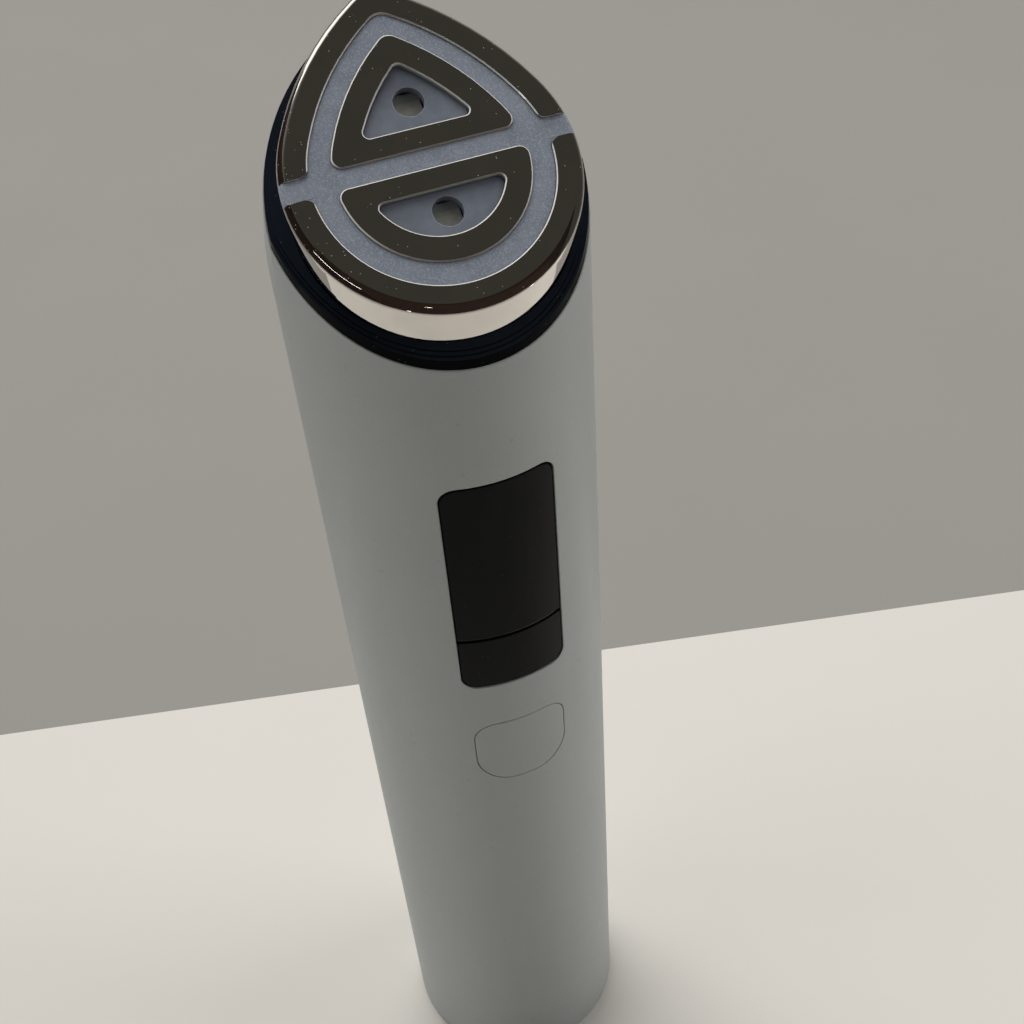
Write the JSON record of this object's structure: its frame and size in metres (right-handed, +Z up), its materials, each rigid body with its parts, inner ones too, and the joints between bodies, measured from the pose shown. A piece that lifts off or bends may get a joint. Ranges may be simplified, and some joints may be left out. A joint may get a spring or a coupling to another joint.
{
  "type": "facial toning device",
  "caption": "Hand-held facial toning device: a round white grip with a display and keys, and a sloping teardrop head with chrome electrodes round a frosted light guide.",
  "frame": {"origin": "on the grip's axis at the centre of its base, in the plane of the rubber foot", "axes": "+Z up along the grip, front with display and keys towards -Y, +X to the right seen from behind the device"},
  "size_m": [0.031, 0.0311, 0.1599],
  "materials": {
    "shell": "matt",
    "black_gloss": "polished",
    "navy_gloss": "polished",
    "chrome": "mirror",
    "frosted": "frosted",
    "window": "satin",
    "board": "solder mask",
    "chip": "matt",
    "steel": "satin",
    "nickel": "satin",
    "gold": "polished",
    "rubber": "matt",
    "frame_grey": "matt",
    "cell": "shrink sleeve",
    "amber": "film"
  },
  "bodies": {
    "grip": {"grip_tube": "shell", "base_cap": "shell", "foot_pad": "rubber", "base_screws": "steel", "charge_board": "board", "usb_shell": "steel", "usb_tongue": "chip", "chassis": "frame_grey", "main_board": "board", "board_screws": "steel", "board_chips": "chip", "battery_cell": "cell", "battery_tabs": "nickel", "battery_pad": "rubber", "display_lens": "black_gloss", "display_module": "chip", "lens_frame": "frame_grey", "mode_switch": "chip", "power_switch": "chip", "key_seal": "rubber", "motor_can": "steel", "motor_mount": "rubber", "buzzer": "chip", "head_carrier": "frame_grey", "seal_ring": "rubber", "head_screws": "steel", "bezel_ring": "navy_gloss", "led_board": "board", "led_chips": "nickel", "diffuser": "frosted", "upper_window": "window", "lower_window": "window", "upper_arc_electrode": "chrome", "lower_arc_electrode": "chrome", "arch_electrode": "chrome", "bowl_electrode": "chrome", "contact_pins": "gold", "head_flex": "amber"},
    "mode_key": {"mode_key": "black_gloss", "mode_plunger": "amber"},
    "power_key": {"power_key": "shell", "power_plunger": "amber"},
    "motor_rotor": {"motor_shaft": "steel", "motor_weight": "nickel"}
  },
  "joints": [
    {"name": "mode_key_press", "type": "slide", "parent": "grip", "child": "mode_key", "axis": [0, 1, 0], "range_m": [0, 0.00035], "stiffness_N_per_m": 600},
    {"name": "power_key_press", "type": "slide", "parent": "grip", "child": "power_key", "axis": [0, 1, 0], "range_m": [0, 0.00035], "stiffness_N_per_m": 600},
    {"name": "motor_spin", "type": "hinge", "parent": "grip", "child": "motor_rotor", "pos_m": [0, 0.00362, 0.105], "axis": [0, 0, 1], "continuous": true}
  ]
}
